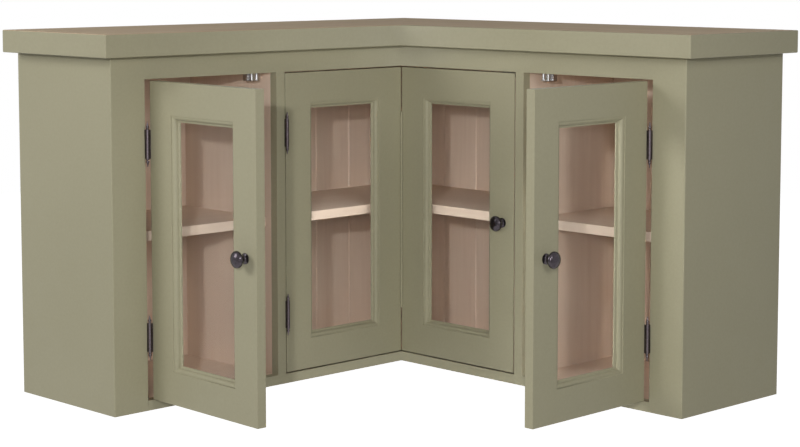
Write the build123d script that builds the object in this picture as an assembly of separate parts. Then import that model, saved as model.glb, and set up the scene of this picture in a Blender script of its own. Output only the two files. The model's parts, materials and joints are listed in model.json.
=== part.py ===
from build123d import *
import os
from math import radians, sqrt, tan

# Corner wall cabinet with a face frame, two outer glazed doors and a folding pair across the corner.
# Millimetres, +Z up. The origin is in the corner of the room at the cabinet's underside. The wall
# y = 0 carries the right wing along +X, and the wall x = 0 carries the left wing along -Y.
# Every shape is drawn once, in the right wing. Left pieces are its mirror images across the diagonal.

# ---- face frame and carcass ----
depth = 350.0               # wall to the front of the face frame
outer_stile = 90.0          # width of the face frame's end stile
outer_opening = 373.0       # door opening in the outer part of a wing
mullion = 25.0              # width of the upright between two openings
inner_opening = 374.0       # mullion to the inside corner
bottom_rail = 23.0          # height of the face frame's bottom rail
opening_height = 703.0      # clear height of every door opening
top_rail = 51.0             # height of the top rail that shows below the cornice
frame_thickness = 22.0      # face frame, front to back
panel_thickness = 20.0      # end panels and dividers
deck_thickness = 18.0       # top and bottom panels
cornice_height = 50.0
cornice_overhang = 40.0
cover_thickness = 12.0      # boards that close the top, level with the cornice
joint_gap = 0.3             # between pieces that stand side by side

# ---- back boards and hanging rails ----
back_thickness = 12.0
board_pitch = 115.0         # width of one board between joints
left_first_joint = 98.0     # first joint from the room's corner, in each wing
right_first_joint = 50.0
narrowest_board = 30.0      # the cut board at the end panel is at least this wide
board_chamfer = 2.5         # each side of the V at a joint
tongue_thickness = 4.0
tongue_length = 5.0
tongue_fit = 0.2            # room round a tongue
hanging_rail_height = 80.0
hanging_rail_thickness = 18.0
wall_screw_radius = 2.75    # clearance holes for the wall screws
wall_screw_first = 245.0    # first hole, from the room's corner
wall_screw_spacing = 575.0

# ---- shelves ----
shelf_thickness = 22.0
shelf_rise = 344.5          # floor of the cabinet to the underside of the shelf
shelf_setback = 18.0        # shelf edge behind the face frame
shelf_fit = 0.5             # room at a shelf's ends and back
shelf_pin_radius = 2.5
shelf_pin_shown = 9.0
shelf_pin_web = 3.0         # wood left between two pins that face each other
shelf_pin_inset = 45.0      # pin to the shelf's front and back edges
cleat_height = 30.0         # battens under the corner shelf
cleat_thickness = 18.0

# ---- doors ----
door_gap = 2.0              # beside each door
door_end_gap = 3.0          # above and below each door
door_thickness = 22.0
door_stile = 75.5
door_top_rail = 71.0
door_bottom_rail = 72.0
tenon_length = 45.0
tenon_thickness = 7.0
tenon_shoulder = 10.0
mitre_gap = 2.0             # between the folding pair, across the mitre
undercut_angle = 47.0       # closing edge of the folding pair, which leaves its opening at a slant
undercut_land = 1.2         # square strip left at the front of that edge
left_door_open = 92.0       # degrees, as both outer doors stand at rest
right_door_open = 91.0

# ---- mouldings, glass and beads ----
moulding_width = 14.0       # frame edge to sight edge
moulding_depth = 14.5       # door face to the glass
moulding_step = 2.4         # first step below the door face
moulding_flat = 1.6         # width of that step
moulding_curve_width = 7.6
moulding_curve_drop = 8.4
moulding_quirk = 0.6        # sharp drop at the foot of the curve
sight_slope = 1.8           # fall of the last band towards the glass
glass_thickness = 3.0
glass_margin = 9.0          # glass behind the moulding, past the sight edge
glass_fit = 0.15            # putty line in front of and behind the glass
bead_width = 10.0
bead_chamfer = 2.0

# ---- butt hinges ----
hinge_inset = 140.0         # hinge centre to the end of the opening
leaf_height = 63.0
leaf_thickness = 1.8
leaf_depth = 18.0           # reach of a leaf behind the face
pin_offset = 6.5            # pin centre in front of the face
barrel_radius = 4.2
hinge_pin_radius = 2.4
pin_fit = 0.05              # radial running clearance
knuckles = 2                # the upper one on the frame's leaf
knuckle_gap = 0.3
finial_shoulder = 3.5       # taper above the barrel
finial_neck_radius = 2.4
finial_ball_radius = 3.7
finial_tip = 7.5            # point above the ball
finial_tip_radius = 0.7

# ---- folding hinge in the inside corner ----
fold_length = 480.0
fold_knuckles = 32
fold_barrel_radius = 2.4
fold_pin_radius = 1.0
fold_leaf_thickness = 0.9
fold_leaf_width = 15.0      # reach into the mitre
fold_offset = 4.0           # pin centre in front of the corner

# ---- knobs ----
knob_head_radius = 18.0
knob_rose_radius = 11.5
knob_neck_radius = 6.0
knob_rose_height = 2.2
knob_neck_height = 9.0      # narrowest place, above the door face
knob_rim_height = 21.5      # widest place of the head
knob_height = 32.0
knob_inset = 37.0           # knob centre to the door's free edge
knob_screw_radius = 2.0
knob_screw_bite = 12.0      # thread in the knob
screw_head_radius = 4.0
screw_head_height = 2.4
screw_fit = 0.2             # clearance of the screw in the stile

# ---- roller catches of the outer doors ----
catch_width = 24.0
catch_length = 29.0
catch_height = 19.0
catch_plate = 1.5           # roof and floor of the case
catch_block = 12.0          # solid rear of the case
catch_clear = 6.0           # case behind the closed door
roller_radius = 3.4
roller_spread = 7.4         # roller centre to the centre of the catch
roller_setback = 4.2        # roller centre behind the front of the case
axle_radius = 1.2
striker_plate_width = 16.0
striker_plate_height = 12.0
striker_plate_thickness = 1.5
striker_tongue = 3.0        # thickness
striker_tongue_height = 8.0
striker_reach = 14.0
striker_head = 4.4
striker_head_length = 4.0

# ---- magnetic catch of the folding pair ----
magnet_case_width = 46.0
magnet_case_height = 14.0
magnet_case_length = 17.0
magnet_width = 28.0
magnet_height = 6.0
magnet_depth = 9.0
magnet_shown = 0.6          # magnet proud of its case
magnet_gap = 0.5            # magnet to keeper
keeper_width = 36.0
keeper_height = 11.0
keeper_thickness = 1.2

# ---- places that follow from the sizes above ----
inner_end = depth + inner_opening                  # mullion's edge towards the corner
outer_start = inner_end + mullion                  # mullion's edge towards the outer opening
outer_end = outer_start + outer_opening            # end stile's edge
wing_length = outer_end + outer_stile
ceiling = bottom_rail + opening_height             # underside of the top panel
body_height = ceiling + top_rail                   # underside of the cornice
total_height = body_height + cornice_height
carcass_height = total_height - cover_thickness
frame_back = depth - frame_thickness
end_face = wing_length - panel_thickness           # inner face of the end panel
divider_start = outer_start - panel_thickness
shelf_bottom = bottom_rail + shelf_rise
shelf_top = shelf_bottom + shelf_thickness
shelf_front = frame_back - shelf_setback
shelf_pin_depth = (panel_thickness - shelf_pin_web) / 2
shelf_pin_places = (back_thickness + shelf_pin_inset, shelf_front - shelf_pin_inset)
wall_screw_height = ceiling - hanging_rail_height / 2
wall_screws = (wall_screw_first, wall_screw_first + wall_screw_spacing)
door_bottom = bottom_rail + door_end_gap
door_top = ceiling - door_end_gap
door_middle = (door_bottom + door_top) / 2
hinge_heights = (bottom_rail + hinge_inset, ceiling - hinge_inset)
pin_y = -(depth + pin_offset)
catch_front = -(depth - door_thickness - catch_clear)
catch_middle = ceiling - catch_height / 2
fold_bottom = door_middle - fold_length / 2
diagonal = Plane(origin=(0, 0, 0), z_dir=(1, 1, 0))


def block(x, y, z):
    """A box that spans three (low, high) pairs."""
    spans = (x, y, z)
    centre = [(low + high) / 2 for low, high in spans]
    size = [high - low for low, high in spans]
    return Pos(*centre) * Box(*size)


def prism(outline, z):
    """A plan outline carried up from the low to the high z."""
    low, high = z
    return Pos(0, 0, low) * extrude(make_face(Polyline(*outline, close=True)), high - low, dir=(0, 0, 1))


def rod_x(radius, x, y, z):
    low, high = x
    return Pos((low + high) / 2, y, z) * Rot(0, 90, 0) * Cylinder(radius, high - low)


def rod_y(radius, x, y, z):
    low, high = y
    return Pos(x, (low + high) / 2, z) * Rot(90, 0, 0) * Cylinder(radius, high - low)


def rod_z(radius, x, y, z):
    low, high = z
    return Pos(x, y, (low + high) / 2) * Cylinder(radius, high - low)


def left(shape):
    """The same piece in the left wing."""
    return mirror(shape, about=diagonal)


def save(name, *shapes):
    """Writes one node, a single solid or a group of separate solids."""
    solids = [solid for shape in shapes for solid in shape.solids()]
    export_step(solids[0] if len(solids) == 1 else Compound(solids), f"parts/{name}.step")


# ---- carcass ----

def shelf_pin_rods(clearance):
    """Every shelf pin of one wing, or its hole when a clearance is given."""
    radius = shelf_pin_radius + clearance
    height = shelf_bottom - shelf_pin_radius
    rods = []
    for face, way in ((end_face, -1), (outer_start, 1), (divider_start, -1)):
        ends = sorted((face - way * (shelf_pin_depth + clearance), face + way * shelf_pin_shown))
        for place in shelf_pin_places:
            rods.append(rod_x(radius, ends, -place, height))
    return rods


def bored_for_pins(panel):
    """A panel with the shelf pin holes that fall in it."""
    for rod in shelf_pin_rods(pin_fit):
        panel -= rod
    return panel


def end_panel():
    return bored_for_pins(block((end_face, wing_length), (-frame_back, 0), (0, carcass_height)))


def divider():
    """Stands behind the mullion, notched round the hanging rail."""
    panel = block((divider_start, outer_start), (-frame_back, -back_thickness), (bottom_rail, ceiling))
    notch_depth = back_thickness + hanging_rail_thickness + joint_gap
    notch_bottom = ceiling - hanging_rail_height - joint_gap
    panel -= block((divider_start, outer_start), (-notch_depth, 0), (notch_bottom, ceiling))
    return bored_for_pins(panel)


def deck(start, underside):
    """A top or bottom panel from start to the end panel."""
    return block((start, end_face), (-frame_back, -back_thickness), (underside, underside + deck_thickness))


def wall_screw_holes():
    through = -(back_thickness + hanging_rail_thickness)
    return [rod_y(wall_screw_radius, x, (through, 0), wall_screw_height) for x in wall_screws]


def back_board(low, high, grooved, tongued):
    """One upright board. Its jointed edges are chamfered to a V at the front."""
    front = -back_thickness
    middle = front / 2
    tongue = tongue_thickness / 2
    groove = tongue + tongue_fit
    groove_end = low + tongue_length + tongue_fit
    outline = [(low + board_chamfer, front)] if grooved else [(low, front)]
    if tongued:
        outline += [(high - board_chamfer, front), (high, front + board_chamfer), (high, middle - tongue)]
        outline += [(high + tongue_length, middle - tongue), (high + tongue_length, middle + tongue)]
        outline += [(high, middle + tongue), (high, 0)]
    else:
        outline += [(high, front), (high, 0)]
    outline += [(low, 0)]
    if grooved:
        outline += [(low, middle + groove), (groove_end, middle + groove), (groove_end, middle - groove)]
        outline += [(low, middle - groove), (low, front + board_chamfer)]
    return prism(outline, (0, carcass_height))


def back_boards(start, first_joint):
    """Boards from start to the end panel, with the last one cut to what is left."""
    count = 1 + int((end_face - first_joint - narrowest_board) // board_pitch)
    joints = [first_joint + board_pitch * number for number in range(count)]
    edges = [start] + joints + [end_face]
    boards = []
    for low, high in zip(edges, edges[1:]):
        board = back_board(low, high, low != start, high != end_face)
        for hole in wall_screw_holes():
            board -= hole
        boards.append(board)
    return boards


def hanging_rail(start):
    rail = block((start, end_face), (-(back_thickness + hanging_rail_thickness), -back_thickness),
                 (ceiling - hanging_rail_height, ceiling))
    for hole in wall_screw_holes():
        rail -= hole
    return rail


def cover(start):
    return block((start, wing_length), (-depth, 0), (carcass_height, total_height))


def shelf(start, end):
    return block((start, end), (-shelf_front, -(back_thickness + shelf_fit)), (shelf_bottom, shelf_top))


def cleat(start):
    """A batten that carries the corner shelf along the back."""
    return block((start, divider_start), (-(back_thickness + cleat_thickness), -back_thickness),
                 (shelf_bottom - cleat_height, shelf_bottom))


# ---- face frame and cornice ----

def hinge_mortises(edge, on_door):
    """The recesses for the leaves on one side of the gap at a hinge edge."""
    bottoms = [height - leaf_height / 2 for height in hinge_heights]
    return [block(leaf_span(edge, on_door), (-depth, -(depth - leaf_depth)), (low, low + leaf_height))
            for low in bottoms]


def frame_stile():
    stile = block((outer_end, wing_length), (-depth, -frame_back), (0, carcass_height))
    for mortise in hinge_mortises(outer_end, False):
        stile -= mortise
    return stile


def frame_mullion(hinged):
    """The upright between the openings, recessed where the inner door hangs on it."""
    upright = block((inner_end, outer_start), (-depth, -frame_back), (bottom_rail, ceiling))
    if hinged:
        for mortise in hinge_mortises(inner_end, False):
            upright -= mortise
    return upright


def frame_rail(z):
    """A rail from the end stile to the inside corner, where it is mitred."""
    outline = [(depth, -depth), (outer_end, -depth), (outer_end, -frame_back), (frame_back, -frame_back)]
    return prism(outline, z)


def cornice():
    """The fascia along the front and its return along the end, mitred together."""
    out = depth + cornice_overhang
    end = wing_length + cornice_overhang
    z = (body_height, total_height)
    front = prism([(depth, -depth), (out, -out), (end, -out), (wing_length, -depth)], z)
    side = prism([(wing_length, -depth), (end, -out), (end, 0), (wing_length, 0)], z)
    return [front, side]


# ---- doors ----

class Door:
    """The edges of a closed door. The low side is nearer the room's corner and may be mitred."""

    def __init__(self, low, low_front, low_back, high):
        self.low = low
        self.low_front = low_front
        self.low_back = low_back
        self.high = high
        self.hole = (low + door_stile, high - door_stile)
        self.hole_z = (door_bottom + door_bottom_rail, door_top - door_top_rail)


mitre_edge = mitre_gap / sqrt(2)                   # half the mitre gap, measured along the face
back_plane = -(depth - door_thickness)
outer_low = outer_start + door_gap
outer_door = Door(outer_low, outer_low, outer_low, outer_end - door_gap)
inner_door = Door(depth, depth + mitre_edge, depth - door_thickness + mitre_edge, inner_end - door_gap)


def tenons(door):
    """The four tenons of a door's two rails, which reach into the stiles."""
    middle = -(depth - door_thickness / 2)
    across = (middle - tenon_thickness / 2, middle + tenon_thickness / 2)
    low, high = door.hole
    blocks = []
    for bottom, top in ((door_bottom, door.hole_z[0]), (door.hole_z[1], door_top)):
        z = (bottom + tenon_shoulder, top - tenon_shoulder)
        blocks.append(block((low - tenon_length, low), across, z))
        blocks.append(block((high, high + tenon_length), across, z))
    return blocks


def door_stiles(door, cuts):
    """Both stiles, with the mortises for the rails and the given cuts for fittings."""
    inside, outside = door.hole
    z = (door_bottom, door_top)
    low_outline = [(door.low_front, -depth), (inside, -depth), (inside, back_plane), (door.low_back, back_plane)]
    stiles = [prism(low_outline, z), block((outside, door.high), (-depth, back_plane), z)]
    for tool in tenons(door) + cuts:
        stiles = [stile - tool for stile in stiles]
    return stiles


def closing_undercut(door):
    """The wedge taken off the back of a closing edge."""
    start = -depth + undercut_land
    shift = (back_plane - start) * tan(radians(undercut_angle))
    return prism([(door.high, start), (door.high, back_plane), (door.high - shift, back_plane)],
                 (door_bottom, door_top))


def door_rails(door):
    """Bottom and top rail, each with its two tenons."""
    y = (-depth, back_plane)
    tongues = tenons(door)
    lower = block(door.hole, y, (door_bottom, door.hole_z[0])) + tongues[0] + tongues[1]
    upper = block(door.hole, y, (door.hole_z[1], door_top)) + tongues[2] + tongues[3]
    return [lower, upper]


def mitred_strip(section, length):
    """A strip along +X whose ends are cut at 45 degrees, narrowing towards +Z."""
    face = make_face(section)
    reach = face.bounding_box().max.Z
    ends = Polyline((0, 0, 0), (length, 0, 0), (length - reach, 0, reach), (reach, 0, reach), close=True)
    cut = extrude(make_face(ends), door_thickness, dir=(0, 1, 0))
    return extrude(face, length, dir=(1, 0, 0)) & cut


def moulding_section():
    """Step, curve, quirk and sloping sight band, drawn with +Y into the door and +Z to the glass."""
    curve_end = moulding_flat + moulding_curve_width
    curve_foot = moulding_step + moulding_curve_drop
    quirk_foot = curve_foot + moulding_quirk
    bulge = 1 / sqrt(2)
    curve_middle = (0, moulding_step + moulding_curve_drop * (1 - bulge), moulding_flat + moulding_curve_width * bulge)
    curve = ThreePointArc((0, moulding_step, moulding_flat), curve_middle, (0, curve_foot, curve_end))
    rest = Polyline((0, curve_foot, curve_end), (0, quirk_foot, curve_end),
                    (0, quirk_foot + sight_slope, moulding_width), (0, moulding_depth, moulding_width),
                    (0, moulding_depth, 0), (0, moulding_step, 0), (0, moulding_step, moulding_flat))
    return curve + rest


def bead_section():
    """A square bead with its visible corner taken off."""
    low = moulding_depth + glass_thickness + 2 * glass_fit
    return Polyline((0, low, 0), (0, low, bead_width), (0, door_thickness - bead_chamfer, bead_width),
                    (0, door_thickness, bead_width - bead_chamfer), (0, door_thickness, 0), close=True)


def strips_round_hole(door, section):
    """Four mitred strips round the hole in a door's frame."""
    low, high = door.hole
    bottom, top = door.hole_z
    across = mitred_strip(section, high - low)
    upright = mitred_strip(section, top - bottom)
    return [
        Pos(low, -depth, bottom) * across,
        Pos(high, -depth, top) * Rot(0, 180, 0) * across,
        Pos(low, -depth, top) * Rot(0, 90, 0) * upright,
        Pos(high, -depth, bottom) * Rot(0, -90, 0) * upright,
    ]


def door_glass(door):
    edge = moulding_width - glass_margin
    low, high = door.hole
    bottom, top = door.hole_z
    front = -depth + moulding_depth + glass_fit
    return block((low + edge, high - edge), (front, front + glass_thickness), (bottom + edge, top - edge))


# ---- butt hinges ----

def leaf_span(edge, on_door):
    """The x span of a leaf let into the wood on its side of the gap."""
    if on_door:
        return (edge - door_gap - leaf_thickness, edge - door_gap)
    return (edge, edge + leaf_thickness)


def hinge_leaf(edge, height, on_door):
    """A leaf with its share of the knuckles, bored for the pin."""
    axis_x = edge - door_gap / 2
    span = leaf_span(edge, on_door)
    clear = pin_y + barrel_radius + knuckle_gap
    bottom = height - leaf_height / 2
    top = height + leaf_height / 2
    length = leaf_height / knuckles
    leaf = block(span, (clear, -(depth - leaf_depth)), (bottom, top))
    for number in range(knuckles):
        if (number % 2 == 0) == on_door:
            low = bottom + number * length
            z = (low + knuckle_gap / 2, low + length - knuckle_gap / 2)
            leaf += rod_z(barrel_radius, axis_x, pin_y, z)
            leaf += block(span, (pin_y, clear), z)
    return leaf - rod_z(hinge_pin_radius + pin_fit, axis_x, pin_y, (bottom, top))


def hinge_leaves(edge, on_door):
    return [hinge_leaf(edge, height, on_door) for height in hinge_heights]


def finial():
    """The turned end of a pin, from the barrel's end upwards."""
    ball_middle = finial_shoulder + finial_ball_radius * 0.75
    tip_start = ball_middle + finial_ball_radius / 2
    tip_length = ball_middle + finial_ball_radius + finial_tip - tip_start
    taper = Pos(0, 0, finial_shoulder / 2) * Cone(barrel_radius, finial_neck_radius, finial_shoulder)
    ball = Pos(0, 0, ball_middle) * Sphere(finial_ball_radius)
    point = Pos(0, 0, tip_start + tip_length / 2) * Cone(finial_neck_radius, finial_tip_radius, tip_length)
    return taper + ball + point


def hinge_pin(edge, height):
    """The pin with a finial at each end."""
    half = leaf_height / 2
    pin = rod_z(hinge_pin_radius, 0, 0, (-half, half))
    pin += Pos(0, 0, half) * finial()
    pin += Pos(0, 0, -half) * Rot(180, 0, 0) * finial()
    return Pos(edge - door_gap / 2, pin_y, height) * pin


def hinge_pins(edge):
    return [hinge_pin(edge, height) for height in hinge_heights]


def opened(shape, angle):
    """A closed outer door's piece, turned about its hinge pins."""
    return shape.rotate(Axis((outer_end - door_gap / 2, pin_y, 0), (0, 0, 1)), angle)


# ---- folding hinge ----

corner = Plane(origin=(depth, -depth, 0), x_dir=(-1, 1, 0), z_dir=(0, 0, 1))


def fold_leaf(first):
    """The leaf on the right door's mitre, from the knuckle numbered first, in steps of two."""
    faces = (-mitre_gap / 2, -mitre_gap / 2 + fold_leaf_thickness)
    clear = -fold_offset + fold_barrel_radius + knuckle_gap
    length = fold_length / fold_knuckles
    leaf = block((clear, fold_leaf_width), faces, (fold_bottom, fold_bottom + fold_length))
    for number in range(first, fold_knuckles, 2):
        low = fold_bottom + number * length
        z = (low + knuckle_gap / 2, low + length - knuckle_gap / 2)
        leaf += rod_z(fold_barrel_radius, -fold_offset, 0, z)
        leaf += block((-fold_offset, clear), faces, z)
    leaf -= rod_z(fold_pin_radius + pin_fit, -fold_offset, 0, (fold_bottom, fold_bottom + fold_length))
    return corner.location * leaf


def fold_pin():
    return corner.location * rod_z(fold_pin_radius, -fold_offset, 0, (fold_bottom, fold_bottom + fold_length))


# ---- knobs ----

def knob_place(door, at_high):
    """The x of a knob on the stile away from the hinges."""
    return door.high - knob_inset if at_high else door.low + knob_inset


def knob_cut(x):
    """The clearance hole for the knob's screw."""
    return rod_y(knob_screw_radius + screw_fit, x, (-depth, back_plane), door_middle)


def knob(x):
    """A turned mushroom knob, bored from the back for its screw."""
    bore = knob_screw_radius + pin_fit
    crown = knob_height - knob_rim_height
    swell = knob_head_radius - knob_neck_radius
    under = knob_rim_height - knob_neck_height
    flare = Spline((knob_rose_radius, knob_rose_height),
                   (knob_neck_radius + (knob_rose_radius - knob_neck_radius) * 0.22, knob_rose_height + 2.4),
                   (knob_neck_radius, knob_neck_height), tangents=[(-1, 0.35), (0, 1)])
    bell = Spline((knob_neck_radius, knob_neck_height),
                  (knob_neck_radius + swell * 0.16, knob_neck_height + under * 0.42),
                  (knob_head_radius - swell * 0.25, knob_rim_height - under * 0.24),
                  (knob_head_radius, knob_rim_height), tangents=[(0, 1), (0, 1)])
    dome = Spline((knob_head_radius, knob_rim_height),
                  (knob_head_radius * 0.86, knob_rim_height + crown * 0.56),
                  (knob_head_radius * 0.5, knob_rim_height + crown * 0.9),
                  (0, knob_height), tangents=[(0, 1), (-1, 0)])
    base = Polyline((0, knob_height), (0, knob_screw_bite), (bore, knob_screw_bite), (bore, 0),
                    (knob_rose_radius, 0), (knob_rose_radius, knob_rose_height))
    turned = revolve(make_face(base + flare + bell + dome), Axis.Y)
    return Pos(x, -depth, door_middle) * Rot(180, 0, 0) * turned


def knob_screw(x):
    """The screw that holds a knob, with its head on the back of the stile."""
    shank = rod_y(knob_screw_radius, x, (-depth - knob_screw_bite + 1, back_plane), door_middle)
    return shank + rod_y(screw_head_radius, x, (back_plane, back_plane + screw_head_height), door_middle)


# ---- catches ----

def catch_x(door, at_high):
    """Catches sit behind the middle of the stile that closes against them."""
    return door.high - door_stile / 2 if at_high else door.low + door_stile / 2


def roller_places(x):
    y = catch_front + roller_setback
    return [(x - roller_spread, y), (x + roller_spread, y)]


def catch_case(x):
    """A case under the top panel, open at the front, with an upright axle for each roller."""
    y = (catch_front, catch_front + catch_length)
    span = (x - catch_width / 2, x + catch_width / 2)
    floor = ceiling - catch_height
    case = block(span, y, (ceiling - catch_plate, ceiling))
    case += block(span, y, (floor, floor + catch_plate))
    case += block(span, (y[1] - catch_block, y[1]), (floor, ceiling))
    for place in roller_places(x):
        case += rod_z(axle_radius, *place, (floor, ceiling))
    return case


def catch_rollers(x):
    """The pair of rollers, free on their axles."""
    z = (ceiling - catch_height + catch_plate + joint_gap, ceiling - catch_plate - joint_gap)
    return [rod_z(roller_radius, *place, z) - rod_z(axle_radius + pin_fit, *place, z) for place in roller_places(x)]


def striker(x):
    """The tongue on the door's back that enters between the rollers."""
    z = (catch_middle - striker_tongue_height / 2, catch_middle + striker_tongue_height / 2)
    plate_z = (catch_middle - striker_plate_height / 2, catch_middle + striker_plate_height / 2)
    plate_y = (back_plane, back_plane + striker_plate_thickness)
    tip = back_plane + striker_reach
    plate = block((x - striker_plate_width / 2, x + striker_plate_width / 2), plate_y, plate_z)
    tongue = block((x - striker_tongue / 2, x + striker_tongue / 2), (plate_y[1], tip), z)
    head = block((x - striker_head / 2, x + striker_head / 2), (tip - striker_head_length, tip), z)
    return plate + tongue + head


def magnet(x):
    front = back_plane + keeper_thickness + magnet_gap
    middle = ceiling - magnet_case_height / 2
    return block((x - magnet_width / 2, x + magnet_width / 2), (front, front + magnet_depth),
                 (middle - magnet_height / 2, middle + magnet_height / 2))


def magnet_catch(x):
    """A case under the top panel with the magnet set in its front."""
    front = back_plane + keeper_thickness + magnet_gap + magnet_shown
    case = block((x - magnet_case_width / 2, x + magnet_case_width / 2), (front, front + magnet_case_length),
                 (ceiling - magnet_case_height, ceiling))
    return [case - magnet(x), magnet(x)]


def keeper(x):
    """The steel plate on the door's back that the magnet holds."""
    middle = ceiling - magnet_case_height / 2
    return block((x - keeper_width / 2, x + keeper_width / 2), (back_plane, back_plane + keeper_thickness),
                 (middle - keeper_height / 2, middle + keeper_height / 2))


# ---- the nodes ----

def save_carcass():
    pins = shelf_pin_rods(0)
    beside_back = back_thickness + shelf_fit
    outer_shelf = shelf(outer_start + shelf_fit, end_face - shelf_fit)
    lower_deck = bottom_rail - deck_thickness
    behind_rail = back_thickness + hanging_rail_thickness
    save("end_panel_left", left(end_panel()))
    save("end_panel_right", end_panel())
    save("divider_left", left(divider()))
    save("divider_right", divider())
    save("top_panel_left", left(deck(back_thickness, ceiling)))
    save("top_panel_right", deck(frame_back, ceiling))
    save("bottom_panel_left", left(deck(back_thickness, lower_deck)))
    save("bottom_panel_right", deck(frame_back, lower_deck))
    save("back_boards_left", *[left(board) for board in back_boards(0, left_first_joint)])
    save("back_boards_right", *back_boards(back_thickness, right_first_joint))
    save("hanging_rails", left(hanging_rail(back_thickness)), hanging_rail(behind_rail))
    save("top_covers", left(cover(0)), cover(depth))
    save("outer_shelves", left(outer_shelf), outer_shelf)
    save("corner_shelf", left(shelf(beside_back, divider_start - shelf_fit)),
         shelf(shelf_front, divider_start - shelf_fit))
    save("shelf_cleats", left(cleat(back_thickness)), cleat(back_thickness + cleat_thickness))
    save("shelf_pins", *pins, *[left(pin) for pin in pins])


def save_face_frame():
    rail_above = (ceiling, carcass_height)
    rail_below = (0, bottom_rail)
    save("outer_stile_left", left(frame_stile()))
    save("outer_stile_right", frame_stile())
    save("mullions", left(frame_mullion(True)), frame_mullion(False))
    save("top_rail_left", left(frame_rail(rail_above)))
    save("top_rail_right", frame_rail(rail_above))
    save("bottom_rails", left(frame_rail(rail_below)), frame_rail(rail_below))
    save("cornice_left", *[left(piece) for piece in cornice()])
    save("cornice_right", *cornice())


def save_frame_fittings():
    """What stays on the carcass: frame leaves, pins and catches."""
    outer_leaves = hinge_leaves(outer_end, False)
    outer_pins = hinge_pins(outer_end)
    outer_x = catch_x(outer_door, False)
    save("hinge_frame_leaves", *outer_leaves, *[left(leaf) for leaf in outer_leaves],
         *[left(leaf) for leaf in hinge_leaves(inner_end, False)])
    save("hinge_pins", *outer_pins, *[left(pin) for pin in outer_pins],
         *[left(pin) for pin in hinge_pins(inner_end)])
    save("catch_cases", catch_case(outer_x), left(catch_case(outer_x)))
    save("catch_rollers", *catch_rollers(outer_x), *[left(roller) for roller in catch_rollers(outer_x)])
    save("magnet_catch", *magnet_catch(catch_x(inner_door, True)))


def save_door(name, door, place, cuts):
    """A door's wood and glass, each piece carried by place to where it stands at rest."""
    save(f"{name}_stiles", *[place(piece) for piece in door_stiles(door, cuts)])
    save(f"{name}_rails", *[place(piece) for piece in door_rails(door)])
    save(f"{name}_mouldings", *[place(piece) for piece in strips_round_hole(door, moulding_section())])
    save(f"{name}_glass", place(door_glass(door)))
    save(f"{name}_beads", *[place(piece) for piece in strips_round_hole(door, bead_section())])


def save_outer_door(name, place):
    """An outer door with its hinge leaves, knob and striker."""
    x = knob_place(outer_door, False)
    save_door(name, outer_door, place, hinge_mortises(outer_end, True) + [knob_cut(x)])
    save(f"{name}_hinge_leaves", *[place(leaf) for leaf in hinge_leaves(outer_end, True)])
    save(f"{name}_knob", place(knob(x)), place(knob_screw(x)))
    save(f"{name}_striker", place(striker(catch_x(outer_door, False))))


def save_folding_pair():
    """The left door hangs on the mullion, and the right door hangs on the left one."""
    x = knob_place(inner_door, True)
    save_door("left_inner_door", inner_door, left, hinge_mortises(inner_end, True))
    save("left_inner_door_hinge_leaves", *[left(leaf) for leaf in hinge_leaves(inner_end, True)])
    save("fold_hinge_left_leaf", left(fold_leaf(0)), fold_pin())
    save_door("right_inner_door", inner_door, lambda piece: piece, [closing_undercut(inner_door), knob_cut(x)])
    save("fold_hinge_right_leaf", fold_leaf(1))
    save("right_inner_door_knob", knob(x), knob_screw(x))
    save("right_inner_door_keeper", keeper(catch_x(inner_door, True)))


def main():
    os.makedirs("parts", exist_ok=True)
    save_carcass()
    save_face_frame()
    save_frame_fittings()
    save_outer_door("left_outer_door", lambda piece: left(opened(piece, left_door_open)))
    save_outer_door("right_outer_door", lambda piece: opened(piece, right_door_open))
    save_folding_pair()


main()
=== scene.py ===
import json
from math import radians

import bmesh
import bpy
from mathutils import Matrix, Vector


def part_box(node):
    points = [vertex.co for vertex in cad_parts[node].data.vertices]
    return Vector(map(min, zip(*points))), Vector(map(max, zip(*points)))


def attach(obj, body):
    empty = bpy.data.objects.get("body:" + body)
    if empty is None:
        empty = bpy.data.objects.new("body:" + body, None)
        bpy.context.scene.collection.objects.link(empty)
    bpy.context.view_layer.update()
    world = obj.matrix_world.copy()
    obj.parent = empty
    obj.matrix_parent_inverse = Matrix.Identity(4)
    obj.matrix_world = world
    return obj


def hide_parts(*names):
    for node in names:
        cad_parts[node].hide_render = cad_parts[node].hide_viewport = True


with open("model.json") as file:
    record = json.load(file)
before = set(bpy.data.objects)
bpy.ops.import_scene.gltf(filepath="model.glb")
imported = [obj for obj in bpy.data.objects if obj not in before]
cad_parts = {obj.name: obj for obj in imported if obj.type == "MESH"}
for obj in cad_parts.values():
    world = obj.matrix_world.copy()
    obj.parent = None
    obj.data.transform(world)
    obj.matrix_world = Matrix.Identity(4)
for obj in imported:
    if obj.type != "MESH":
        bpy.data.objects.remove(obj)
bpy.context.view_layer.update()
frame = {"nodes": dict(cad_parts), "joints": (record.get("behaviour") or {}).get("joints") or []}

NODES = frame["nodes"]
JOINTS = {joint["child"]: joint for joint in frame["joints"]}

# ---- places, in metres, that the looks need ----
TOTAL_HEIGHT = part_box("top_covers")[1].z
DEPTH = -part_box("outer_stile_right")[0].y          # wall to the front of the face frame
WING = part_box("end_panel_right")[1].x              # corner of the room to the end of a wing
END_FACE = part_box("end_panel_right")[0].x          # inner face of an end panel
FRAME_BACK = -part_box("end_panel_right")[0].y       # wall to the back of the face frame

# ---- rounding of the arrises ----
WIDEST = 0.0024                                    # on the cornice and the ends' front corners
CASE_WIDTH = 0.0008                                # every other arris of the case
DOOR_WIDTH = 0.0014
SHELF_WIDTH = 0.0007
SHORTEST = 0.004                                   # shorter edges, as round a bore, stay crisp
CORNER_ANGLE = 0.5                                 # radians between two faces that meet in an arris
FLAT_ANGLE = 0.02                                  # radians below which two faces count as one
FACE_WEIGHT = 80                                   # how far the large faces rule the shading

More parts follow.
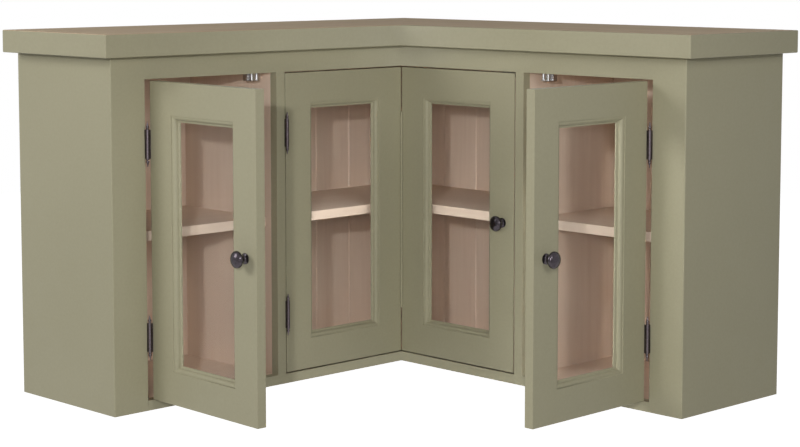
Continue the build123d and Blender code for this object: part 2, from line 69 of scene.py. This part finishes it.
# ---- how close is the same place ----
SAME_POINT = 2e-6                                  # corners of the CAD's solids
SAME_CORNER = 3e-6                                 # corners of a fused piece
NO_LENGTH = 1e-7                                   # shorter edges are taken out
PLACE_DIGITS = 6                                   # decimals that are kept of a corner's place
ON_EDGE = 0.002                                    # an edge this near an outer face belongs to it
ON_FACE = 0.004                                    # and so does a face

# ---- hinge screws, which the CAD leaves out ----
LEAF_HEIGHT = 0.063
LEAF_MIDDLE = 0.009                                # behind the face of the frame
HALF_GAP = 0.001                                   # hinge pin to the leaf on either side
SCREW_SPACING = 0.021
SCREW_RADIUS = 0.0027
SCREW_TAPER = 0.8                                  # radius of the head's foot, as a share of its rim
SCREW_SIDES = 28
SCREW_PROUD = 0.0004
SCREW_SUNK = 0.0006
SLOT_WIDTH = 0.0008
SLOT_DEPTH = 0.0003
SLOT_TURN = 1.1                                    # radians from one screw's slot to the next one's

# ---- camera ----
CAMERA_PLACE = (3.7405, -3.6538, 0.9855)
CAMERA_YAW = 45.786
CAMERA_PITCH = 5.419
CAMERA_LENS = 87.85
CAMERA_SENSOR = 36.0
CAMERA_SHIFT = -0.10

# ---- light ----
LAMP_AIM = (0.5, -0.5, 0.4)
LAMPS = (
    # name, place, width, watts
    ("key", (2.85, -3.40, 1.20), 0.10, 38.0),
    ("second", (3.75, -3.56, 1.10), 0.12, 13.0),
    ("left_far", (-1.45, -4.90, 2.30), 2.0, 48.0),
    ("left_near", (-0.30, -2.80, 1.50), 1.0, 10.0),
    ("right_near", (3.15, -1.60, 1.50), 1.0, 17.0),
)
WORLD_STRENGTH = 0.105

# ---- floor ----
FLOOR_PLACE = (0.5, -0.5, -1.2)
FLOOR_RADIUS = 14.0
FLOOR_SIDES = 96
FLOOR_COLOUR = (0.85, 0.85, 0.84, 1.0)
FLOOR_GLOW = 0.98                                  # added for seen rays: only shadow stays off white


# ---- materials ----

def srgb(red, green, blue):
    """Scene colour from 0 to 255 screen values."""
    def linear(value):
        value = value / 255
        return value / 12.92 if value <= 0.04045 else ((value + 0.055) / 1.055) ** 2.4
    return (linear(red), linear(green), linear(blue), 1.0)


class Material:
    """A node material with one Principled shader and short ways to feed it."""

    def __init__(self, name, **values):
        self.material = bpy.data.materials.new(name)
        self.material.use_nodes = True
        self.tree = self.material.node_tree
        self.tree.nodes.clear()
        self.output = self.tree.nodes.new("ShaderNodeOutputMaterial")
        self.shader = self.tree.nodes.new("ShaderNodeBsdfPrincipled")
        self.join(self.shader.outputs[0], self.output.inputs["Surface"])
        for key, value in values.items():
            self.shader.inputs[key.replace("_", " ")].default_value = value
        self.place = self.tree.nodes.new("ShaderNodeTexCoord").outputs["Object"]

    def join(self, source, target):
        self.tree.links.new(source, target)

    def put(self, value, socket):
        """Joins an output to a socket, or gives the socket a plain value."""
        if hasattr(value, "is_output"):
            self.join(value, socket)
        else:
            socket.default_value = value

    def add(self, kind, inputs=(), **settings):
        node = self.tree.nodes.new(kind)
        for key, value in settings.items():
            setattr(node, key, value)
        for key, value in dict(inputs).items():
            self.put(value, node.inputs[key])
        return node

    def stretched(self, scale, place=None):
        """Coordinates multiplied along each axis, by default those of the object."""
        node = self.add("ShaderNodeMapping", {"Vector": place or self.place})
        node.inputs["Scale"].default_value = scale
        return node.outputs["Vector"]

    def along_wing(self):
        """Coordinates whose x runs along the wing that a place is in."""
        parts = self.add("ShaderNodeSeparateXYZ", {"Vector": self.place}).outputs
        right = self.maths("GREATER_THAN", self.maths("ADD", parts["X"], parts["Y"]), 0.0)
        turned = self.add("ShaderNodeCombineXYZ", {"X": parts["Y"], "Y": parts["X"], "Z": parts["Z"]})
        return self.blend(right, turned.outputs["Vector"], self.place)

    def noise(self, scale, detail=4.0, roughness=0.55, vector=None, distortion=0.0):
        node = self.add("ShaderNodeTexNoise", {
            "Vector": vector or self.place, "Scale": scale, "Detail": detail, "Roughness": roughness,
            "Distortion": distortion})
        return node.outputs["Fac"]

    def spread(self, value, low, high, start=0.3, end=0.7):
        """Maps a value from start..end to low..high, held at the ends."""
        node = self.add("ShaderNodeMapRange", {
            "Value": value, "From Min": start, "From Max": end, "To Min": low, "To Max": high})
        return node.outputs["Result"]

    def blend(self, amount, first, second, way="MIX"):
        """The first colour where the amount is 0 and the second where it is 1."""
        node = self.add("ShaderNodeMix", data_type="RGBA", blend_type=way)
        # With colours, this node's sockets are 0, 6 and 7, and its output is 2.
        self.put(amount, node.inputs[0])
        self.put(first, node.inputs[6])
        self.put(second, node.inputs[7])
        return node.outputs[2]

    def maths(self, operation, first, second):
        node = self.add("ShaderNodeMath", operation=operation)
        self.put(first, node.inputs[0])
        self.put(second, node.inputs[1])
        return node.outputs[0]

    def bump(self, height, strength, distance):
        inputs = {"Height": height, "Strength": strength, "Distance": distance}
        return self.add("ShaderNodeBump", inputs).outputs["Normal"]

    def feed(self, **sockets):
        for key, value in sockets.items():
            self.join(value, self.shader.inputs[key.replace("_", " ")])


def paint(name, colour, tint, roughness):
    """Brushed eggshell paint: cloudy tone, fine brush marks and a slightly uneven sheen."""
    made = Material(name, Specular_IOR_Level=0.20)
    cloud = made.noise(2.2, detail=3.0, roughness=0.5)
    fleck = made.noise(160.0, detail=2.0, roughness=0.6)
    tone = made.blend(made.spread(cloud, 0.0, 1.0), colour, tint)
    shade = made.spread(fleck, 0.975, 1.02)
    grey = made.add("ShaderNodeCombineColor", {"Red": shade, "Green": shade, "Blue": shade}).outputs[0]
    brush = made.noise(1.0, detail=3.0, roughness=0.6, vector=made.stretched((900.0, 900.0, 26.0)))
    peel = made.noise(420.0, detail=2.0, roughness=0.5)
    relief = made.maths("ADD", made.maths("MULTIPLY", brush, 0.7), made.maths("MULTIPLY", peel, 0.5))
    sheen = made.noise(35.0, detail=4.0)
    made.feed(Base_Color=made.blend(1.0, tone, grey, "MULTIPLY"),
              Roughness=made.spread(sheen, roughness - 0.05, roughness + 0.07),
              Normal=made.bump(relief, strength=0.03, distance=0.0003))
    return made.material


def board(name, colour, tint, upright, roughness=0.62):
    """Thinly painted wood whose grain, upright or along the wing, just shows."""
    made = Material(name, Specular_IOR_Level=0.15)
    slow = 3.0
    fast = 70.0
    stretch = (fast, fast, slow) if upright else (slow, fast, fast)
    fine_stretch = [value * 4 for value in stretch]
    place = made.place if upright else made.along_wing()
    grain = made.noise(1.0, detail=6.0, roughness=0.6, vector=made.stretched(stretch, place), distortion=0.6)
    cloud = made.noise(3.5, detail=3.0)
    tone = made.blend(made.spread(grain, 0.0, 1.0, start=0.35, end=0.68), colour, tint)
    tone = made.blend(made.spread(cloud, 0.0, 0.35), tone, tint)
    pores = made.noise(1.0, detail=3.0, roughness=0.7, vector=made.stretched(fine_stretch, place))
    relief = made.maths("ADD", grain, made.maths("MULTIPLY", pores, 0.6))
    made.feed(Base_Color=tone,
              Roughness=made.spread(grain, roughness - 0.06, roughness + 0.08),
              Normal=made.bump(relief, strength=0.10, distance=0.0005))
    return made.material


def metal(name, colour, worn, roughness, bump_scale, strength, metallic=1.0):
    """Metal with a mottled patina, lighter where it is worn."""
    made = Material(name, Metallic=metallic)
    mottle = made.noise(bump_scale, detail=5.0, roughness=0.6)
    fine = made.noise(bump_scale * 6, detail=3.0, roughness=0.6)
    rub = made.maths("MULTIPLY", mottle, fine)
    made.feed(Base_Color=made.blend(made.spread(rub, 0.0, 1.0, start=0.15, end=0.42), colour, worn),
              Roughness=made.spread(fine, roughness - 0.07, roughness + 0.10),
              Normal=made.bump(mottle, strength, distance=0.0003))
    return made.material


GREEN = srgb(167, 162, 136)
GREEN_TINT = srgb(162, 157, 131)
PINK = srgb(224, 203, 184)
PINK_TINT = srgb(217, 194, 174)
RAW = srgb(216, 196, 164)
RAW_TINT = srgb(202, 176, 146)

GREEN_PAINT = paint("green_paint", GREEN, GREEN_TINT, roughness=0.40)
PINK_UPRIGHT = board("pink_upright", PINK, PINK_TINT, upright=True)
PINK_LEVEL = board("pink_level", PINK, PINK_TINT, upright=False)
BARE_TOP = board("bare_top", RAW, RAW_TINT, upright=False, roughness=0.7)
PEWTER = metal("pewter", srgb(66, 60, 62), srgb(124, 114, 120),
               roughness=0.34, bump_scale=420.0, strength=0.30)
GUNMETAL = metal("gunmetal", srgb(40, 36, 39), srgb(86, 79, 85),
                 roughness=0.19, bump_scale=300.0, strength=0.18, metallic=0.85)
NICKEL = metal("nickel", srgb(196, 196, 198), srgb(224, 224, 226),
               roughness=0.24, bump_scale=700.0, strength=0.08)
CATCH_PLASTIC = paint("catch_plastic", srgb(120, 104, 88), srgb(112, 97, 82), roughness=0.55)


def clear_glass():
    """Clear glass, slightly uneven. Its low index keeps the reflections faint."""
    made = Material("clear_glass", Base_Color=(0.975, 0.985, 0.98, 1.0), Transmission_Weight=1.0, IOR=1.12)
    made.feed(Roughness=made.spread(made.noise(9.0, detail=2.0), 0.0, 0.012))
    return made.material


CLEAR_GLASS = clear_glass()


def give(node, *materials):
    """Puts procedural materials in a CAD object's slots."""
    obj = NODES[node]
    while len(obj.material_slots) < len(materials):
        obj.data.materials.append(None)
    for slot, one in zip(obj.material_slots, materials):
        slot.link = "OBJECT"
        slot.material = one


UPRIGHT_BOARDS = ("back_boards_left", "back_boards_right", "divider_left", "divider_right")
LEVEL_BOARDS = ("top_panel_left", "top_panel_right", "bottom_panel_left", "bottom_panel_right",
                "outer_shelves", "corner_shelf", "shelf_cleats", "hanging_rails")
SMALL_METAL = ("catch_cases", "catch_rollers", "shelf_pins", "left_outer_door_striker",
               "right_outer_door_striker", "right_inner_door_keeper")


def material_for(node):
    """The material of a CAD node, by its name."""
    if node.endswith("_glass"):
        return CLEAR_GLASS
    if node.endswith("_knob"):
        return GUNMETAL
    if node.endswith("hinge_leaves") or node in ("hinge_frame_leaves", "hinge_pins"):
        return PEWTER
    if node in SMALL_METAL:
        return NICKEL
    if node == "magnet_catch":
        return CATCH_PLASTIC
    if node == "top_covers":
        return BARE_TOP
    if node in UPRIGHT_BOARDS:
        return PINK_UPRIGHT
    if node in LEVEL_BOARDS:
        return PINK_LEVEL
    return GREEN_PAINT


def linked(name, data):
    """A new object with this data, in the scene."""
    obj = bpy.data.objects.new(name, data)
    bpy.context.scene.collection.objects.link(obj)
    return obj


def shaped(obj):
    """The mesh that an object's modifiers make of it."""
    bpy.context.view_layer.update()
    view = bpy.context.evaluated_depsgraph_get()
    return bpy.data.meshes.new_from_object(obj.evaluated_get(view))


def soft_arrises(obj, width, segments=2, **settings):
    """Rounds corners and shades the faces flat when the scene is drawn. The mesh stays."""
    bevel = obj.modifiers.new("soft_arrises", "BEVEL")
    bevel.offset_type = "OFFSET"
    bevel.width = width
    bevel.segments = segments
    for key, value in settings.items():
        setattr(bevel, key, value)
    flat = obj.modifiers.new("flat_faces", "WEIGHTED_NORMAL")
    flat.mode = "FACE_AREA"
    flat.weight = FACE_WEIGHT
    flat.keep_sharp = True


def dress_cad():
    """Gives every CAD node its material, and the shelves softer edges."""
    for node in NODES:
        give(node, material_for(node))
        if node.endswith("_glass"):
            NODES[node].visible_shadow = False
    for node in ("outer_shelves", "corner_shelf", "shelf_cleats"):
        weld = NODES[node].modifiers.new("weld", "WELD")
        weld.merge_threshold = SAME_POINT
        soft_arrises(NODES[node], SHELF_WIDTH, limit_method="ANGLE", angle_limit=radians(50))


# ---- fused painted pieces ----

def closed_turn(body):
    """The turn that carries a piece of this body from rest to closed, about its hinge."""
    joint = JOINTS.get(body)
    low = joint["range_deg"][0] if joint else 0
    if not low:
        return Matrix.Identity(4)
    pivot = Vector(joint["pos_m"])
    turn = Matrix.Rotation(radians(low), 4, Vector(joint["axis"]))
    return Matrix.Translation(pivot) @ turn @ Matrix.Translation(-pivot)


def loose_solid(node, turn):
    """A welded copy of a node's solids, as an object to cut and join."""
    mesh = bpy.data.meshes.new("loose")
    shape = bmesh.new()
    shape.from_mesh(NODES[node].data)
    for corner in shape.verts:
        corner.co = Vector([round(value, PLACE_DIGITS) for value in turn @ corner.co])
    bmesh.ops.remove_doubles(shape, verts=shape.verts, dist=SAME_POINT)
    bmesh.ops.dissolve_degenerate(shape, dist=NO_LENGTH, edges=shape.edges)
    shape.normal_update()
    shape.to_mesh(mesh)
    shape.free()
    return linked("loose", mesh)


def union(nodes, turn):
    """One mesh of all the nodes' solids, with the faces between them gone."""
    solids = [loose_solid(node, turn) for node in nodes]
    for other in solids[1:]:
        join = solids[0].modifiers.new("join", "BOOLEAN")
        join.operation = "UNION"
        join.solver = "EXACT"
        join.use_self = True
        join.object = other
    mesh = shaped(solids[0])
    for obj in solids:
        bpy.data.objects.remove(obj)
    return mesh


def soften(mesh, width_at):
    """Marks the free arrises for rounding and keeps every other corner crisp.

    width_at gives the width for an edge's middle and direction, or 0."""
    shape = bmesh.new()
    shape.from_mesh(mesh)
    bmesh.ops.remove_doubles(shape, verts=shape.verts, dist=SAME_CORNER)
    bmesh.ops.dissolve_limit(shape, angle_limit=FLAT_ANGLE, verts=shape.verts, edges=shape.edges)
    shape.normal_update()
    weights = shape.edges.layers.float.new("bevel_weight_edge")
    for edge in shape.edges:
        width = 0.0
        if len(edge.link_faces) == 2 and edge.calc_face_angle() > CORNER_ANGLE:
            edge.smooth = False
            if edge.is_convex and edge.calc_length() > SHORTEST:
                first, second = (corner.co for corner in edge.verts)
                width = width_at((first + second) / 2, (second - first).normalized())
        if width:
            edge[weights] = width / WIDEST
            edge.smooth = True
    shape.to_mesh(mesh)
    shape.free()


def fused(name, nodes, body, width_at, materials, pick=None):
    """A painted piece that stands for several CAD nodes, with no line where they meet."""
    turn = closed_turn(body)
    mesh = union(nodes, turn)
    soften(mesh, width_at)
    mesh.materials.clear()
    for one in materials:
        mesh.materials.append(one)
    for face in mesh.polygons:
        face.use_smooth = True
        face.material_index = pick(face.center, face.normal) if pick else 0
    mesh.transform(turn.inverted())
    mesh.name = name
    obj = linked(name, mesh)
    soft_arrises(obj, WIDEST, segments=3, limit_method="WEIGHT")
    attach(obj, body)
    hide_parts(*nodes)


def case_width(middle, direction):
    """The front corners of the ends are rounder than the edges of the openings."""
    for x, y in ((middle.x, -middle.y), (-middle.y, middle.x)):
        if x > WING - ON_EDGE and y > DEPTH - ON_EDGE and abs(direction.z) > 0.9:
            return WIDEST
    return CASE_WIDTH


def case_slot(centre, normal):
    """0 for the painted outside, 1 for the inside of the cupboard."""
    if normal.y > 0.5 and centre.y > -FRAME_BACK - ON_FACE and centre.x > DEPTH:
        return 1
    if normal.x < -0.5 and centre.x < FRAME_BACK + ON_FACE and centre.y < -DEPTH:
        return 1
    if normal.x < -0.5 and abs(centre.x - END_FACE) < ON_FACE and centre.y > -FRAME_BACK:
        return 1
    if normal.y > 0.5 and abs(centre.y + END_FACE) < ON_FACE and centre.x < FRAME_BACK:
        return 1
    return 0


def cornice_width(middle, direction):
    """All the arrises of the cornice are equally round."""
    return WIDEST


def cornice_slot(centre, normal):
    """0 for the painted fascia, 1 for its bare top edge."""
    return int(normal.z > 0.9 and centre.z > TOTAL_HEIGHT - ON_EDGE)


def door_width(middle, direction):
    """All the arrises of a door are equally round."""
    return DOOR_WIDTH


def build_pieces():
    """The painted case, the cornice and the four door frames."""
    fused("case_and_face_frame",
          ("outer_stile_right", "end_panel_right", "top_rail_right", "mullions", "bottom_rails",
           "top_rail_left", "outer_stile_left", "end_panel_left"),
          "carcass", case_width, (GREEN_PAINT, PINK_UPRIGHT), case_slot)
    fused("cornice", ("cornice_left", "cornice_right"), "carcass", cornice_width,
          (GREEN_PAINT, BARE_TOP), cornice_slot)
    for door in ("left_outer_door", "left_inner_door", "right_inner_door", "right_outer_door"):
        fused(door + "_frame", (door + "_stiles", door + "_rails"), door, door_width, (GREEN_PAINT,))


# ---- hinge screws ----

def block_mesh(low, high):
    """A block between two opposite corners."""
    mesh = bpy.data.meshes.new("block")
    shape = bmesh.new()
    size = high - low
    place = Matrix.Translation((low + high) / 2) @ Matrix.Diagonal((*size, 1.0))
    bmesh.ops.create_cube(shape, size=1.0, matrix=place)
    shape.to_mesh(mesh)
    shape.free()
    return mesh


def screw_head():
    """A countersunk head with one slot, its top towards +Z and the leaf's face at z = 0."""
    mesh = bpy.data.meshes.new("head")
    shape = bmesh.new()
    middle = Matrix.Translation((0, 0, (SCREW_PROUD - SCREW_SUNK) / 2))
    bmesh.ops.create_cone(shape, cap_ends=True, segments=SCREW_SIDES, radius1=SCREW_RADIUS * SCREW_TAPER,
                          radius2=SCREW_RADIUS, depth=SCREW_PROUD + SCREW_SUNK, matrix=middle)
    shape.to_mesh(mesh)
    shape.free()
    reach = 2 * SCREW_RADIUS
    slot = block_mesh(Vector((-reach, -SLOT_WIDTH / 2, SCREW_PROUD - SLOT_DEPTH)),
                      Vector((reach, SLOT_WIDTH / 2, reach)))
    objects = [linked("cut", one) for one in (mesh, slot)]
    cut = objects[0].modifiers.new("cut", "BOOLEAN")
    cut.operation = "DIFFERENCE"
    cut.solver = "EXACT"
    cut.object = objects[1]
    head = shaped(objects[0])
    for obj in objects:
        bpy.data.objects.remove(obj)
    return head


def leaf_screw_places(body, on_door):
    """Where the screws of a hinged body's leaves stand, with the door closed."""
    joint = JOINTS[body]
    x, y = joint["pos_m"][:2]
    in_left_wing = x < -y
    along = max(x, -y)
    face = along - HALF_GAP if on_door else along + HALF_GAP
    outward = 1 if on_door else -1
    low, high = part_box(body + "_hinge_leaves")
    places = []
    for middle in (low.z + LEAF_HEIGHT / 2, high.z - LEAF_HEIGHT / 2):
        for step in (-1, 0, 1):
            place = Vector((face, LEAF_MIDDLE - DEPTH, middle + step * SCREW_SPACING))
            normal = Vector((outward, 0, 0))
            if in_left_wing:
                place = Vector((-place.y, -place.x, place.z))
                normal = Vector((0, -outward, 0))
            turn = normal.to_track_quat("Z", "Y").to_matrix().to_4x4()
            places.append(Matrix.Translation(place) @ turn)
    return places


def add_screws(name, body, places):
    """One object of screw heads at the given places, each slot turned another way."""
    head = screw_head()
    mesh = bpy.data.meshes.new(name)
    shape = bmesh.new()
    for number, place in enumerate(places):
        copy = head.copy()
        copy.transform(place @ Matrix.Rotation(SLOT_TURN * number, 4, "Z"))
        shape.from_mesh(copy)
        bpy.data.meshes.remove(copy)
    shape.to_mesh(mesh)
    shape.free()
    mesh.materials.clear()
    mesh.materials.append(PEWTER)
    obj = linked(name, mesh)
    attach(obj, body)


def build_screws():
    """Three screws in every leaf of the butt hinges."""
    on_frame = []
    for body in ("left_outer_door", "right_outer_door", "left_inner_door"):
        opening = closed_turn(body).inverted()
        on_door = leaf_screw_places(body, on_door=True)
        add_screws(body + "_hinge_screws", body, [opening @ place for place in on_door])
        on_frame += leaf_screw_places(body, on_door=False)
    add_screws("frame_hinge_screws", "carcass", on_frame)


# ---- stage ----

def add_camera():
    data = bpy.data.cameras.new("camera")
    data.lens = CAMERA_LENS
    data.sensor_width = CAMERA_SENSOR
    data.shift_y = CAMERA_SHIFT
    camera = linked("camera", data)
    camera.location = CAMERA_PLACE
    camera.rotation_euler = (radians(90 - CAMERA_PITCH), 0, radians(CAMERA_YAW))
    bpy.context.scene.camera = camera


def add_lamp(name, place, width, watts):
    """A round lamp that points at the cabinet."""
    data = bpy.data.lights.new(name, "AREA")
    data.shape = "DISK"
    data.size = width
    data.energy = watts
    lamp = linked(name, data)
    lamp.location = place
    lamp.rotation_euler = (Vector(LAMP_AIM) - Vector(place)).to_track_quat("-Z", "Y").to_euler()


def seen_rays(tree):
    """1 for rays from the camera and for those that metal and glass send on."""
    rays = tree.nodes.new("ShaderNodeLightPath")
    total = rays.outputs["Is Camera Ray"]
    for name in ("Is Glossy Ray", "Is Transmission Ray"):
        either = tree.nodes.new("ShaderNodeMath")
        either.operation = "MAXIMUM"
        tree.links.new(total, either.inputs[0])
        tree.links.new(rays.outputs[name], either.inputs[1])
        total = either.outputs[0]
    return total


def add_world():
    """A dim even light all round, and plain white wherever it is seen."""
    world = bpy.data.worlds.new("studio")
    bpy.context.scene.world = world
    world.use_nodes = True
    tree = world.node_tree
    tree.nodes.clear()
    light = tree.nodes.new("ShaderNodeBackground")
    light.inputs["Strength"].default_value = WORLD_STRENGTH
    white = tree.nodes.new("ShaderNodeBackground")
    white.inputs["Strength"].default_value = 1.0
    for node in (light, white):
        node.inputs["Color"].default_value = (1, 1, 1, 1)
    mix = tree.nodes.new("ShaderNodeMixShader")
    out = tree.nodes.new("ShaderNodeOutputWorld")
    tree.links.new(seen_rays(tree), mix.inputs[0])
    tree.links.new(light.outputs[0], mix.inputs[1])
    tree.links.new(white.outputs[0], mix.inputs[2])
    tree.links.new(mix.outputs[0], out.inputs["Surface"])


def floor_material():
    """Matt and pale. Where it is seen it also glows, so that it looks white and keeps its shadow."""
    made = bpy.data.materials.new("floor")
    made.use_nodes = True
    tree = made.node_tree
    tree.nodes.clear()
    matt = tree.nodes.new("ShaderNodeBsdfDiffuse")
    matt.inputs["Color"].default_value = FLOOR_COLOUR
    pale = tree.nodes.new("ShaderNodeEmission")
    pale.inputs["Strength"].default_value = FLOOR_GLOW
    seen = tree.nodes.new("ShaderNodeAddShader")
    mix = tree.nodes.new("ShaderNodeMixShader")
    out = tree.nodes.new("ShaderNodeOutputMaterial")
    tree.links.new(matt.outputs[0], seen.inputs[0])
    tree.links.new(pale.outputs[0], seen.inputs[1])
    tree.links.new(seen_rays(tree), mix.inputs[0])
    tree.links.new(matt.outputs[0], mix.inputs[1])
    tree.links.new(seen.outputs[0], mix.inputs[2])
    tree.links.new(mix.outputs[0], out.inputs["Surface"])
    return made


def add_floor():
    mesh = bpy.data.meshes.new("floor")
    shape = bmesh.new()
    bmesh.ops.create_circle(shape, cap_ends=True, segments=FLOOR_SIDES, radius=FLOOR_RADIUS)
    shape.to_mesh(mesh)
    shape.free()
    mesh.materials.append(floor_material())
    floor = linked("floor", mesh)
    floor.location = FLOOR_PLACE


dress_cad()
build_pieces()
build_screws()
add_camera()
add_world()
add_floor()
for lamp in LAMPS:
    add_lamp(*lamp)
bpy.context.scene.view_settings.view_transform = "Standard"
